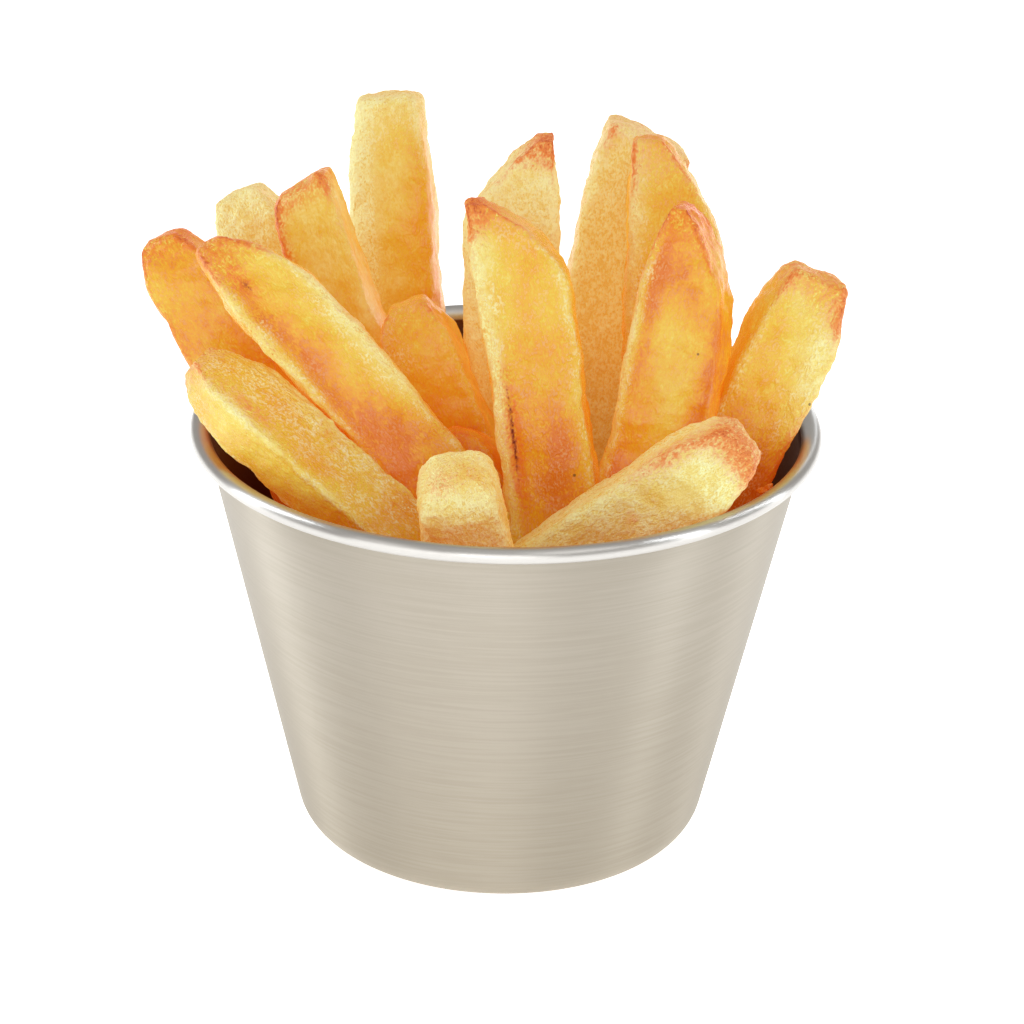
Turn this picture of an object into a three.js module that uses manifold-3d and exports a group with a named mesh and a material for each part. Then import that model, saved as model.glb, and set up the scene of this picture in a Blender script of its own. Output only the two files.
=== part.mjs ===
/**
 * A portion of thick-cut french fries standing in a small tapered steel cup.
 *
 * Millimetres, +Z up. The origin is the centre of the cup's flat base, on the table.
 * The portion is seen from -Y, with +X to the right.
 */
import * as THREE from 'three';
import { mergeVertices } from 'three/addons/utils/BufferGeometryUtils.js';
import Module from 'manifold-3d';

// The cup: spun sheet steel, straight sloping side, rounded base corner, rolled rim
const CUP_HEIGHT = 73; // table to the top of the rolled rim
const RIM_DIAMETER = 104; // over the rolled rim
const BEAD_RADIUS = 1.3; // of the rolled rim's round section
const MOUTH_RADIUS = 49.6; // outside of the side where it runs into the rim
const BASE_RADIUS = 33.2; // where the outside of the side would meet the table
const CORNER_RADIUS = 7; // outside, between the side and the base
const SHEET = 0.8; // steel thickness
const LIP_DROP = 2; // the rim's inner side rounds over by this much
const CURL_START = THREE.MathUtils.degToRad(200); // where the side runs into the bead
const CUP_SEGMENTS = 72;

// The core: what the bundle of fries fills below the ones that show
const CORE_GAP = 3; // inside the cup's side
const CORE_LIFT = 0.4; // above the cup's floor
const CORE_EDGE = 44; // height of the core's shoulder
const CORE_TOP = 50; // height of the core's middle
const CORE_SEGMENTS = 32;

// Each fry is a bar with chamfered edges, that narrows near its tip
const FRY_SIDES = 8;
const CHAMFER = 0.28; // of the smaller half side
const FOOT_PINCH = 0.2; // how much the foot's last edge is smaller
const FOOT_ROUND = 0.04; // share of the length that the foot's rounding takes
const THINNEST_TIP = 0.6; // a tip narrows more across than in thickness
const TIP_DOME = 0.12; // height of a tip's middle, as a share of the width

const BEAD_CENTRE = new THREE.Vector2(RIM_DIAMETER / 2 - BEAD_RADIUS, CUP_HEIGHT - BEAD_RADIUS);
const SLOPE = (MOUTH_RADIUS - BASE_RADIUS) / BEAD_CENTRE.y;
const SIDE_TILT = Math.atan(SLOPE); // of the side away from upright
const CORNER_CENTRE_X = BASE_RADIUS + SLOPE * CORNER_RADIUS - CORNER_RADIUS / Math.cos(SIDE_TILT);

/** Radius of the cup's inner side at a height. */
function innerRadius(z) {
  return BASE_RADIUS + SLOPE * z - SHEET / Math.cos(SIDE_TILT);
}

/**
 * The fries that show, each from its foot in the bundle to its tip.
 *
 * width lies across the view and thick along it, before the fry is turned about its own length.
 * bow bends the middle sideways and to the front. end says what the fry narrows to at its tip: a
 * share of the width, over a share of the length, with a curve of a power, moved to one side.
 * slant cuts the tip at an angle.
 */
const SHOWN_FRIES = [
  // Left side, leaning out over the rim
  { foot: [-22, -6, 47], tip: [-56.2, 8, 100], width: 12.5, thick: 13, slant: 0.1,
    end: { width: 0.62, length: 0.12, power: 1.6, side: -0.1 } },
  { foot: [-3.5, -20, 59], tip: [-47, -8, 106.5], width: 13.8, thick: 13, turn: -20, bow: [1.5, 0],
    end: { width: 0.35, length: 0.22, power: 1.5, side: -0.3 } },
  { foot: [-23, 14, 50], tip: [-45.5, 30, 100.5], width: 13, thick: 12,
    end: { width: 0.65, length: 0.16, power: 2, side: 0 } },
  { foot: [-14, 4, 50], tip: [-34.5, 16, 106.8], width: 11.3, thick: 13, slant: -0.3,
    end: { width: 0.85, length: 0.1, power: 2, side: 0.2 } },
  { foot: [-12.5, -34, 61], tip: [-49.7, -12, 86.3], width: 12, thick: 11, turn: -55, bow: [0, 1],
    end: { width: 0.35, length: 0.2, power: 2, side: 0 } },
  // Back, the tallest first
  { foot: [-12, 24, 24], tip: [-21, 44.5, 112.6], width: 14, thick: 13, turn: 5, bow: [-1, 0],
    end: { width: 0.64, length: 0.25, power: 1.6, side: 0.1 } },
  { foot: [7, 8, 36], tip: [0, 16, 116], width: 15.8, thick: 11.5, bow: [-2, 0],
    end: { width: 0.2, length: 0.155, power: 1.2, side: 0.9 } },
  { foot: [12, 24, 28.5], tip: [23.2, 36, 109.5], width: 16.5, thick: 13, bow: [-2, 0], slant: 0.3,
    end: { width: 0.88, length: 0.12, power: 2, side: 0.1 } },
  { foot: [24, 8, 36.5], tip: [27, 22, 114], width: 16.8, thick: 12.5, bow: [2, 0],
    end: { width: 0.33, length: 0.25, power: 1.6, side: -0.75 } },
  // Middle, from the short dark ones to the long broad ones
  { foot: [2, -4, 45], tip: [-17, 4, 91], width: 12.5, thick: 12,
    end: { width: 0.55, length: 0.2, power: 2, side: 0.1 } },
  { foot: [7, -16, 47.5], tip: [-8.5, -8, 74], width: 10, thick: 10,
    end: { width: 0.4, length: 0.2, power: 2, side: -0.4 } },
  { foot: [9.5, -20, 42.5], tip: [-0.5, -8, 114.5], width: 15.2, thick: 12.5, bow: [1.5, 0],
    end: { width: 0.22, length: 0.2, power: 2, side: -0.85 } },
  { foot: [14.5, -14, 39.5], tip: [29, -4, 112], width: 15.5, thick: 13, turn: 15, bow: [4, 0],
    end: { width: 0.2, length: 0.25, power: 2, side: -0.2 } },
  // Front stub, and the right side
  { foot: [-2, -24, 44], tip: [-8, -37.6, 80], width: 13.3, thick: 13,
    end: { width: 0.6, length: 0.15, power: 2, side: 0 } },
  { foot: [-3.5, -22, 47.5], tip: [37.5, -30, 82.5], width: 14, thick: 13, turn: 10,
    end: { width: 0.6, length: 0.2, power: 2.2, side: 0 } },
  { foot: [24.5, -8, 44], tip: [50, 0, 99.3], width: 14.8, thick: 13, bow: [1, 0],
    end: { width: 0.68, length: 0.2, power: 2, side: 0.1 } },
];

/** What the ends of the shorter fries narrow to. */
const LOW_END = { width: 0.7, length: 0.15, power: 2, side: 0 };

/** Shorter fries behind, between and under them, that end near or below the rim. */
const LOW_FRIES = [
  // Left half, from the front round to the back
  { foot: [-8, -20, 30], tip: [-23, -29, 60], width: 12, thick: 11, turn: -20 },
  { foot: [-26, 10, 30], tip: [-33, 23, 67], width: 12, thick: 12, turn: 20 },
  { foot: [-17, 20, 28], tip: [-23, 30, 60], width: 11, thick: 12, turn: -15 },
  { foot: [-3, 26, 26], tip: [-3, 36, 58], width: 12, thick: 11, turn: 10 },
  { foot: [-4, 16, 34], tip: [-2, 22, 66], width: 11, thick: 11, turn: -10 },
  // Right half, from the back round to the front
  { foot: [6, 30, 30], tip: [5, 39, 65], width: 11, thick: 11, turn: -15 },
  { foot: [22, 18, 30], tip: [27, 25, 66], width: 12, thick: 12, turn: -25 },
  { foot: [25, 10, 28], tip: [33, 17, 60], width: 11, thick: 12, turn: 30 },
  { foot: [28, 3, 30], tip: [36, 5, 56], width: 12, thick: 11, turn: 15 },
  { foot: [13, 4, 36], tip: [14, 7, 60], width: 12, thick: 12, turn: 35 },
  { foot: [10, -22, 30], tip: [23, -31, 57], width: 12, thick: 12, turn: 25 },
  { foot: [6, -26, 26], tip: [9, -36, 59], width: 11, thick: 12, turn: -10 },
];

/** A closed mesh with only positions, its shared corners merged. */
function merged(geometry) {
  geometry.deleteAttribute('normal');
  geometry.deleteAttribute('uv');
  return mergeVertices(geometry);
}

/** The surface that a closed outline makes when it turns about +Z. */
function turned(outline, segments) {
  return merged(new THREE.LatheGeometry(outline, segments).rotateX(Math.PI / 2));
}

/** Points of a stretch of an ellipse, from one angle to the other. */
function arc(centreX, centreY, radiusX, radiusY, from, to, steps) {
  const clockwise = to < from;
  const curve = new THREE.EllipseCurve(centreX, centreY, radiusX, radiusY, from, to, clockwise);
  return curve.getPoints(steps);
}

function cupGeometry() {
  const innerCorner = CORNER_RADIUS - SHEET;
  const lipHeight = CUP_HEIGHT - LIP_DROP;
  const lipRadius = BEAD_CENTRE.x - innerRadius(lipHeight);
  const down = -Math.PI / 2;
  const outline = [
    new THREE.Vector2(0, 0),
    ...arc(CORNER_CENTRE_X, CORNER_RADIUS, CORNER_RADIUS, CORNER_RADIUS, down, -SIDE_TILT, 6),
    ...arc(BEAD_CENTRE.x, BEAD_CENTRE.y, BEAD_RADIUS, BEAD_RADIUS, CURL_START, 2.5 * Math.PI, 11),
    ...arc(BEAD_CENTRE.x, lipHeight, lipRadius, LIP_DROP, Math.PI / 2, Math.PI, 4).slice(1),
    ...arc(CORNER_CENTRE_X, CORNER_RADIUS, innerCorner, innerCorner, -SIDE_TILT, down, 6),
    new THREE.Vector2(0, SHEET),
  ];
  return turned(outline, CUP_SEGMENTS);
}

function coreGeometry() {
  const floor = SHEET + CORE_LIFT;
  const footRadius = innerRadius(CORNER_RADIUS) - CORNER_RADIUS;
  const edgeRadius = innerRadius(CORE_EDGE) - CORE_GAP;
  const rise = CORE_TOP - CORE_EDGE;
  const outline = [
    new THREE.Vector2(0, floor),
    new THREE.Vector2(footRadius, floor),
    new THREE.Vector2(innerRadius(CORNER_RADIUS) - CORE_GAP, CORNER_RADIUS),
    ...arc(0, CORE_EDGE, edgeRadius, rise, 0, Math.PI / 2, 5),
  ];
  return turned(outline, CORE_SEGMENTS);
}

/** How far along its length a fry has each ring of corners. */
function stations(tipLength) {
  const tipSteps = [1, 0.6, 0.3, 0.1, 0].map((share) => 1 - share * tipLength);
  return [0, FOOT_ROUND, 0.4, ...tipSteps];
}

function fryGeometry({ foot, tip, width, thick, turn = 0, bow = [0, 0], slant = 0, end = LOW_END }) {
  const start = new THREE.Vector3(...foot);
  const run = new THREE.Vector3(...tip).sub(start);
  const along = run.clone().normalize();
  const front = new THREE.Vector3(0, -1, 0).projectOnPlane(along).normalize();
  front.applyAxisAngle(along, -THREE.MathUtils.degToRad(turn));
  const across = along.clone().cross(front);

  const rings = stations(end.length);
  const bands = rings.length - 1;
  const corner = Math.PI / FRY_SIDES;
  const bar = merged(new THREE.CylinderGeometry(1, 1, 1, FRY_SIDES, bands, false, corner));
  const points = bar.getAttribute('position');
  for (let i = 0; i < points.count; i += 1) {
    const [dirX, dirFront] = [points.getX(i), points.getZ(i)];
    const s = rings[Math.round((points.getY(i) + 0.5) * bands)];

    // How much of the full width and thickness is left here
    const intoTip = Math.max(0, (s - 1 + end.length) / end.length);
    const intoFoot = Math.max(0, 1 - s / FOOT_ROUND);
    const pinch = 1 - FOOT_PINCH * intoFoot;
    const narrowing = (1 - end.width) * intoTip ** end.power;
    const thinning = (1 - Math.max(end.width, THINNEST_TIP)) * intoTip ** 2;
    const halfWidth = (width / 2) * (1 - narrowing) * pinch;
    const halfThick = (thick / 2) * (1 - thinning) * pinch;
    const cut = CHAMFER * Math.min(halfWidth, halfThick);

    // The corner of the chamfered section that this point becomes, or the middle of an end
    const middle = Math.hypot(dirX, dirFront) < 0.5;
    const onSide = Math.abs(dirX) > Math.abs(dirFront);
    const x = middle ? 0 : Math.sign(dirX) * (onSide ? halfWidth : halfWidth - cut);
    const y = middle ? 0 : Math.sign(dirFront) * (onSide ? halfThick - cut : halfThick);
    const dome = middle && s === 1 ? TIP_DOME * width : 0;

    const arch = 4 * s * (1 - s);
    const place = start.clone().addScaledVector(run, s);
    place.addScaledVector(across, end.side * (width / 2) * narrowing + arch * bow[0] + x);
    place.addScaledVector(front, arch * bow[1] + y);
    place.addScaledVector(along, dome - slant * x * s ** 4);
    points.setXYZ(i, place.x, place.y, place.z);
  }
  return bar;
}

const wasm = await Module();
wasm.setup();

/** A three.js geometry as a solid that can be joined. */
function solid(geometry) {
  const vertProperties = Float32Array.from(geometry.getAttribute('position').array);
  const triVerts = Uint32Array.from(geometry.index.array);
  return new wasm.Manifold(new wasm.Mesh({ numProp: 3, vertProperties, triVerts }));
}

/** The core with every fry fused on. */
function heapGeometry() {
  const fries = [...SHOWN_FRIES, ...LOW_FRIES];
  const heap = fries.reduce((sum, fry) => sum.add(solid(fryGeometry(fry))), solid(coreGeometry()));
  const { vertProperties, triVerts } = heap.getMesh();
  const geometry = new THREE.BufferGeometry();
  geometry.setAttribute('position', new THREE.BufferAttribute(vertProperties, 3));
  geometry.setIndex(new THREE.BufferAttribute(triVerts, 1));
  return geometry;
}

const steel = new THREE.MeshStandardMaterial({ color: 0xc9c3b7, roughness: 0.32, metalness: 1 });
const friedPotato = new THREE.MeshStandardMaterial({ color: 0xf0b445, roughness: 0.5, metalness: 0 });

const cup = new THREE.Mesh(cupGeometry(), steel);
cup.name = 'cup';
const fries = new THREE.Mesh(heapGeometry(), friedPotato);
fries.name = 'fries';

const portion = new THREE.Group();
portion.add(cup, fries);

export default portion;
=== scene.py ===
"""Dresses a portion of thick-cut french fries that stands in a small tapered steel cup.

The frame gives the cup and the bundle of fries as plain solids. A spun cup and a bundle of carved,
crusted fries replace them in the same places, and a camera and soft studio lights show them.

Sizes and places are millimetres, +Z up, with the origin at the centre of the cup's base. MM turns
them into metres.
"""

from __future__ import annotations

import logging
import math
from collections.abc import Callable, Iterator
from contextlib import contextmanager
from dataclasses import dataclass, field
from enum import Enum

import bmesh
import bpy
import numpy as np
from mathutils import Matrix, Vector

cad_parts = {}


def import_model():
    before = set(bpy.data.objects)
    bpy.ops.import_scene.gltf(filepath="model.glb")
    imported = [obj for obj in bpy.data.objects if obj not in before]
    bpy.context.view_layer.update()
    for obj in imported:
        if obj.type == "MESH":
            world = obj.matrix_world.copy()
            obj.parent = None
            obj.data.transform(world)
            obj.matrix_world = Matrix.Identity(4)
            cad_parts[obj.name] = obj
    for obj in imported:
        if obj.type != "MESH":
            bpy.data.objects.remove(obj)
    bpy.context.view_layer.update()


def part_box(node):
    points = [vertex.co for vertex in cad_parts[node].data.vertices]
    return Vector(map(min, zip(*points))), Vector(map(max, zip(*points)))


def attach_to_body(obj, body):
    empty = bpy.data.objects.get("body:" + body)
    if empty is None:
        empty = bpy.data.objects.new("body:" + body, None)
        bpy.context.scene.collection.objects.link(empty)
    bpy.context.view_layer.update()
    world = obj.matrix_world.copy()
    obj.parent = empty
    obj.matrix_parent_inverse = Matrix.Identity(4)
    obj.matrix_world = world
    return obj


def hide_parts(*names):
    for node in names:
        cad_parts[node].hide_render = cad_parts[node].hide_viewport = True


LOG = logging.getLogger("fries")
MM = 0.001
BODY = "root"

Colour = tuple[float, float, float, float]
Point = tuple[float, float, float]
Pair = tuple[float, float]
Piece = bpy.types.Object
Socket = bpy.types.NodeSocket


def tint(red: int, green: int, blue: int) -> Colour:
    """Turns a colour of 0 to 255 on screen into the linear colour that shaders take.

    Args:
        red: from 0 to 255.
        green: from 0 to 255.
        blue: from 0 to 255.

    Returns:
        The linear colour, opaque.
    """

    def linear(value: int) -> float:
        share = value / 255
        return share / 12.92 if share <= 0.04045 else ((share + 0.055) / 1.055) ** 2.4

    return (linear(red), linear(green), linear(blue), 1.0)


def smooth_step(low: float, high: float, value: np.ndarray) -> np.ndarray:
    """Rises smoothly from 0 at low to 1 at high.

    Args:
        low: value where it starts to rise.
        high: value where it is full.
        value: the values to turn.

    Returns:
        Shares from 0 to 1.
    """
    share = np.clip((value - low) / (high - low), 0, 1)
    return share * share * (3 - 2 * share)


# Working in edit mode


def pick(obj: Piece) -> None:
    """Leaves only this object selected and active, in object mode.

    Args:
        obj: the object.
    """
    if bpy.context.object and bpy.context.object.mode != "OBJECT":
        bpy.ops.object.mode_set(mode="OBJECT")
    bpy.ops.object.select_all(action="DESELECT")
    obj.select_set(True)
    bpy.context.view_layer.objects.active = obj


@contextmanager
def editing(obj: Piece) -> Iterator[None]:
    """Opens the object in edit mode with nothing selected, and closes it again.

    Args:
        obj: the object.

    Returns:
        Nothing, while it is open.
    """
    pick(obj)
    bpy.ops.object.mode_set(mode="EDIT")
    bpy.ops.mesh.select_mode(type="VERT")
    bpy.ops.mesh.select_all(action="DESELECT")
    yield
    bpy.ops.object.mode_set(mode="OBJECT")


def select_points(obj: Piece, test: Callable[[Vector], bool]) -> None:
    """Selects the vertices whose place passes the test, with the edges and faces between them.

    Args:
        obj: the object.
        test: says of a place whether it passes.
    """
    bpy.ops.mesh.select_all(action="DESELECT")
    mesh = bmesh.from_edit_mesh(obj.data)
    for vert in mesh.verts:
        vert.select = test(vert.co)
    mesh.select_flush(True)
    bmesh.update_edit_mesh(obj.data)


def select_edges(obj: Piece, test: Callable[[Vector, Vector], bool]) -> None:
    """Selects the edges whose two ends pass the test.

    Args:
        obj: the object.
        test: says of the places of two ends whether they pass.
    """
    bpy.ops.mesh.select_all(action="DESELECT")
    mesh = bmesh.from_edit_mesh(obj.data)
    for edge in mesh.edges:
        if test(edge.verts[0].co, edge.verts[1].co):
            edge.select = True
    mesh.select_flush(False)
    bmesh.update_edit_mesh(obj.data)


def apply_modifier(obj: Piece, kind: str, **settings: object) -> None:
    """Adds a modifier with these settings and applies it.

    Args:
        obj: the object.
        kind: the modifier's type.
        **settings: its properties.
    """
    pick(obj)
    modifier = obj.modifiers.new(kind.lower(), kind)
    for key, value in settings.items():
        setattr(modifier, key, value)
    bpy.ops.object.modifier_apply(modifier=modifier.name)


def bake_place(obj: Piece, place: Matrix) -> None:
    """Moves the object by a matrix and puts that place into its mesh.

    Args:
        obj: the object.
        place: the matrix.
    """
    obj.matrix_world = place
    pick(obj)
    bpy.ops.object.transform_apply()


def write_attribute(obj: Piece, name: str, values: np.ndarray) -> None:
    """Writes one number, or one vector, for each vertex under a name that materials read.

    Args:
        obj: the object.
        name: the attribute's name.
        values: one row for each vertex.
    """
    kind, key = ("FLOAT", "value") if values.ndim == 1 else ("FLOAT_VECTOR", "vector")
    attribute = obj.data.attributes.new(name, kind, "POINT")
    attribute.data.foreach_set(key, np.ascontiguousarray(values, np.float32).ravel())


def vertex_places(obj: Piece) -> np.ndarray:
    """The places of the mesh's vertices in millimetres.

    Args:
        obj: the object.

    Returns:
        One row for each vertex.
    """
    places = np.empty(len(obj.data.vertices) * 3, np.float32)
    obj.data.vertices.foreach_get("co", places)
    return places.reshape(-1, 3) / MM


def join_all(parts: list[Piece], name: str) -> Piece:
    """Joins the parts into one object and names it.

    Args:
        parts: the objects to join.
        name: name of the whole.

    Returns:
        The joined object.
    """
    pick(parts[0])
    for part in parts:
        part.select_set(True)
    bpy.ops.object.join()
    joined = bpy.context.object
    joined.name = name
    joined.data.name = name
    bpy.ops.object.shade_smooth()
    return joined


# Shader nodes


@dataclass
class Shader:
    """Adds nodes to one material's or group's tree and links them.

    Attributes:
        tree: the node tree that the nodes go into.
    """

    tree: bpy.types.NodeTree

    def add(self, kind: str, values: dict[str, object] | None = None,
            **settings: object) -> bpy.types.Node:
        """Adds a node, sets its properties and fills its sockets.

        Args:
            kind: the node's type, without the words ShaderNode.
            values: socket names with a value, or with another node's output to link.
            **settings: properties of the node itself.

        Returns:
            The new node.
        """
        node = self.tree.nodes.new("ShaderNode" + kind)
        for key, value in settings.items():
            setattr(node, key, value)
        return self.dress(node, values or {})

    def fill(self, socket: Socket, value: object) -> None:
        """Links an output to a socket, or sets the socket's value.

        Args:
            socket: the input.
            value: an output or a plain value.
        """
        if isinstance(value, Socket):
            self.tree.links.new(value, socket)
        else:
            socket.default_value = value

    def dress(self, node: bpy.types.Node, values: dict[object, object]) -> bpy.types.Node:
        """Fills several sockets of a node, by their names or numbers, and gives the node back.

        Args:
            node: the node.
            values: what goes into each socket.

        Returns:
            The same node.
        """
        for key, value in values.items():
            self.fill(node.inputs[key], value)
        return node

    def math(self, operation: str, *values: object) -> Socket:
        """The result of a math node on numbers or outputs."""
        node = self.add("Math", operation=operation)
        return self.dress(node, dict(enumerate(values))).outputs[0]

    def total(self, start: object, *terms: tuple[object, float]) -> Socket:
        """A value with other values added, each times its weight.

        Args:
            start: the first value.
            *terms: each further value with its weight.

        Returns:
            The sum.
        """
        for value, weight in terms:
            start = self.math("MULTIPLY_ADD", value, weight, start)
        return start

    def swing(self, start: object, *patterns: tuple[object, float]) -> Socket:
        """A value moved to both sides by patterns of 0 to 1, each by its amount.

        Args:
            start: the value.
            *patterns: each pattern with its amount.

        Returns:
            The moved value.
        """
        middle = sum(amount for _, amount in patterns) / 2
        return self.math("SUBTRACT", self.total(start, *patterns), middle)

    def attribute(self, name: str, output: str = "Fac") -> Socket:
        """An attribute of the mesh."""
        return self.add("Attribute", attribute_name=name).outputs[output]

    def ramp(self, value: object, low: float, high: float, start: float = 0.0,
             end: float = 1.0) -> Socket:
        """Turns a range of values smoothly into another, and stops at its ends.

        Args:
            value: what is turned.
            low: where the first range starts.
            high: where it ends.
            start: where the second range starts.
            end: where it ends.

        Returns:
            The turned value.
        """
        settings = {"Value": value, "From Min": low, "From Max": high, "To Min": start, "To Max": end}
        return self.add("MapRange", settings, interpolation_type="SMOOTHSTEP").outputs["Result"]

    def mix(self, share: object, first: object, second: object, blend: str = "MIX") -> Socket:
        """A colour turned by a share into a second one, or into their product for MULTIPLY.

        Args:
            share: 0 for the first colour, 1 for the second.
            first: the first colour.
            second: the second colour.
            blend: MIX or MULTIPLY.

        Returns:
            The mixed colour.
        """
        node = self.add("Mix", {0: share, 6: first, 7: second}, data_type="RGBA", blend_type=blend)
        return node.outputs[2]

    def scale_of(self, value: object, colours: tuple[Colour, ...]) -> Socket:
        """Colours at even steps along a scale of 0 to 1.

        Args:
            value: place on the scale.
            colours: from its low end to its high end.

        Returns:
            The colour at that place.
        """
        steps = self.add("ValToRGB", {"Fac": value})
        band = steps.color_ramp
        while len(band.elements) < len(colours):
            band.elements.new(0.5)
        for number, (element, colour) in enumerate(zip(band.elements, colours)):
            element.position = number / (len(colours) - 1)
            element.color = colour
        return steps.outputs["Color"]

    def noise(self, vector: object, scale: float, detail: float,
              rough: float) -> Socket:
        """Soft noise between 0 and 1, with this many cells in a unit.

        Args:
            vector: where it is read.
            scale: cells in a unit.
            detail: how many finer layers lie on it.
            rough: how strong they are.

        Returns:
            The noise.
        """
        values = {"Vector": vector, "Scale": scale, "Detail": detail, "Roughness": rough}
        return self.add("TexNoise", values).outputs["Fac"]

    def stretched(self, vector: object, scale: Point) -> Socket:
        """The vector, scaled along each axis."""
        return self.add("Mapping", {"Vector": vector, "Scale": scale}).outputs["Vector"]


def new_material(name: str) -> tuple[bpy.types.Material, Shader, bpy.types.Node]:
    """A new material, the means to add nodes to it, and its Principled shader.

    Args:
        name: the material's name.

    Returns:
        The three of them.
    """
    material = bpy.data.materials.new(name)
    material.use_nodes = True
    shader = Shader(material.node_tree)
    return material, shader, material.node_tree.nodes["Principled BSDF"]


def mottle_group() -> bpy.types.NodeTree:
    """Patterns from broad patches down to fine grit, in millimetres of a fry's own grain.

    Returns:
        The group, with an input for the place and an output for each pattern.
    """
    group = bpy.data.node_groups.new("mottle", "ShaderNodeTree")
    group.interface.new_socket("Vector", in_out="INPUT", socket_type="NodeSocketVector")
    for name in ("Patches", "Flakes", "Speckle", "Grit", "Frost"):
        group.interface.new_socket(name, in_out="OUTPUT", socket_type="NodeSocketFloat")
    shader = Shader(group)
    place = group.nodes.new("NodeGroupInput").outputs["Vector"]
    outputs = group.nodes.new("NodeGroupOutput")
    long = shader.stretched(place, (1, 1, 0.65))
    patches = shader.noise(long, 0.16, 1, 0.55)
    flakes = shader.noise(long, 0.42, 2, 0.6)
    speckle = shader.noise(long, 1.2, 2, 0.6)
    grit = shader.noise(long, 3.0, 1, 0.65)
    where = shader.total(0.0, (flakes, 0.6), (speckle, 0.4))
    frost = shader.math("MULTIPLY", shader.ramp(grit, 0.48, 0.62), shader.ramp(where, 0.42, 0.58))
    for socket, value in zip(outputs.inputs, (patches, flakes, speckle, grit, frost)):
        shader.fill(socket, value)
    return group


@dataclass(frozen=True)
class FriedPotato:
    """The crust of a fried potato: smooth golden faces, pale dry crust and browned marks.

    Attributes:
        pale_gold: least fried smooth face.
        gold: translucent yellow face.
        amber: well fried face.
        orange: oily, well fried face, and the painted shade deep in the bundle.
        rust: the deepest fried face.
        cream: dry blistered crust.
        toast: the same crust where it is fried deeper.
        frost: the tiny pale grains on dry crust.
        brown: browned tips and edges.
        dark: the darkest browning.
        burnt: inside of a crack.
        speck: rare dark specks.
        painted_glow_tint: tint of the painted glow, an emission that stands in for light soaking through
            the fries.
        painted_glow: strength of the painted glow at the top of the bundle, as if light soaked through from
            all sides.
        thrown: how much of the light that falls on it the crust throws back.
        relief: height of the finest relief in metres.
        least_relief: share of that relief on a smooth face.
        tearing: how strongly a pattern tears the borders of a browning.
    """

    pale_gold: Colour = tint(246, 212, 132)
    gold: Colour = tint(241, 194, 80)
    amber: Colour = tint(240, 174, 48)
    orange: Colour = tint(240, 150, 34)
    rust: Colour = tint(228, 114, 28)
    cream: Colour = tint(255, 240, 192)
    toast: Colour = tint(246, 206, 124)
    frost: Colour = tint(255, 246, 214)
    brown: Colour = tint(238, 118, 34)
    dark: Colour = tint(200, 74, 24)
    burnt: Colour = tint(122, 40, 20)
    speck: Colour = tint(110, 70, 34)
    painted_glow_tint: Colour = (1.0, 0.35, 0.11, 1.0)
    painted_glow: float = 0.56
    thrown: Colour = (0.34, 0.77, 0.7, 1.0)
    relief: float = 0.42 * MM
    least_relief: float = 0.4
    tearing: float = 4.0

    def material(self, name: str, mottle: bpy.types.NodeTree) -> bpy.types.Material:
        """Builds the material from the mottle's patterns and the attributes that each fry carries.

        Args:
            name: the material's name.
            mottle: the group of patterns.

        Returns:
            The new material.
        """
        material, shader, principled = new_material(name)
        grain = shader.attribute("grain", "Vector")
        speckles = shader.add("Group", node_tree=mottle)
        shader.fill(speckles.inputs["Vector"], grain)
        patches, flakes, speckle, grit, frost = speckles.outputs

        # How deeply each place is fried, with painted shade deep in the bundle and on faces that look down,
        # on one scale from pale gold to rust
        crust = shader.attribute("crust")
        crusty = shader.ramp(crust, 0, 0.7)
        rough = shader.math("ADD", crusty, self.least_relief)
        tone = shader.swing(shader.attribute("tone"), (patches, 0.8), (flakes, 0.5), (speckle, 0.6))
        tone = shader.math("MULTIPLY_ADD", shader.swing(0.0, (grit, 1.4)), rough, tone)
        smooth = shader.scale_of(tone, (self.pale_gold, self.gold, self.amber, self.orange, self.rust))

        # Dry crust lies over it in flakes
        dry = shader.scale_of(tone, (self.cream, self.cream, self.toast, self.toast, self.orange))
        flaky = shader.swing(0.0, (flakes, 0.9), (speckle, 1.2), (grit, 2.0))
        crust = shader.math("MULTIPLY_ADD", flaky, shader.ramp(crusty, 0, 1, 0.3, 1), crust)
        cover = shader.ramp(crust, 0.2, 0.75, 0, 0.85)
        base = shader.mix(cover, smooth, dry)
        frosted = shader.math("MULTIPLY", frost, shader.ramp(crusty, 0, 1, 0.12, 0.65))
        base = shader.mix(frosted, base, self.frost)

        # Browning with ragged borders, then the burnt cracks and a few dark specks
        torn = shader.total(0.0, (speckle, 0.5), (grit, 0.5))
        broken = shader.swing(1.0, (torn, self.tearing))
        for name, low, high, most, colour in (
            ("brown", 0.05, 0.65, 0.9, self.brown),
            ("brown", 0.6, 1.3, 0.85, self.dark),
            ("burn", 0.15, 0.7, 1.0, self.burnt),
        ):
            asked = shader.math("MULTIPLY", shader.attribute(name), broken)
            base = shader.mix(shader.ramp(asked, low, high, 0, most), base, colour)
        dots = shader.add("TexVoronoi", {"Vector": grain, "Scale": 0.11, "Randomness": 1.0})
        dot = shader.ramp(dots.outputs["Distance"], 0.02, 0.036, 0.8, 0)
        base = shader.mix(dot, base, self.speck)

        lift = shader.math("MULTIPLY", shader.total(speckle, (grit, 0.5)), rough)
        bump = shader.add("Bump", {"Height": lift, "Strength": 1.0, "Distance": self.relief})
        finish = {
            "Base Color": shader.mix(1.0, base, self.thrown, "MULTIPLY"),
            "Roughness": shader.ramp(cover, 0, 0.9, 0.27, 0.52),
            "Specular IOR Level": 0.38,
            "Normal": bump.outputs["Normal"],
            # Painted glow: the fries give off light in their own colour, tinted orange, in place of light
            # that soaks through them
            "Emission Color": shader.mix(1.0, base, self.painted_glow_tint, "MULTIPLY"),
            "Emission Strength": shader.math("MULTIPLY", shader.attribute("painted_glow_share"), self.painted_glow),
        }
        shader.dress(principled, finish)
        material.cycles.emission_sampling = "NONE"  # the glow is too faint to be worth a lamp's care
        return material


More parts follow.
